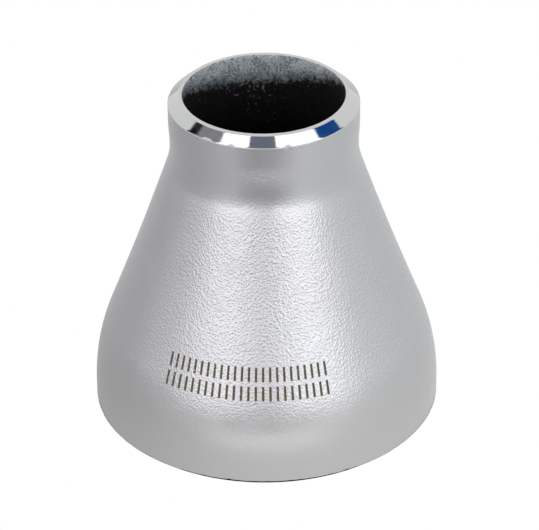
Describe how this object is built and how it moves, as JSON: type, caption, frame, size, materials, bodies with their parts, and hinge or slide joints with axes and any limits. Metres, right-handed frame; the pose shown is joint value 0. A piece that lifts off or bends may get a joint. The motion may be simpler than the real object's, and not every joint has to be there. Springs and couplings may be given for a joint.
{
  "type": "concentric reducer",
  "caption": "Seamless butt-weld pipe reducer: a bevelled weld end at each mouth, a rounded shoulder, a conical wall and a short neck, open right through on one axis.",
  "frame": {"origin": "centre of the large weld end, in the plane of its root face", "axes": "+Z along the flow axis from the large end to the small end; +X and +Y are any two square directions across it"},
  "size_m": [0.0889, 0.0889, 0.089],
  "materials": {
    "blasted_steel": "bead-blasted satin, with turned weld bevels"
  },
  "bodies": {
    "root": {"reducer_body": "blasted_steel"}
  },
  "joints": []
}
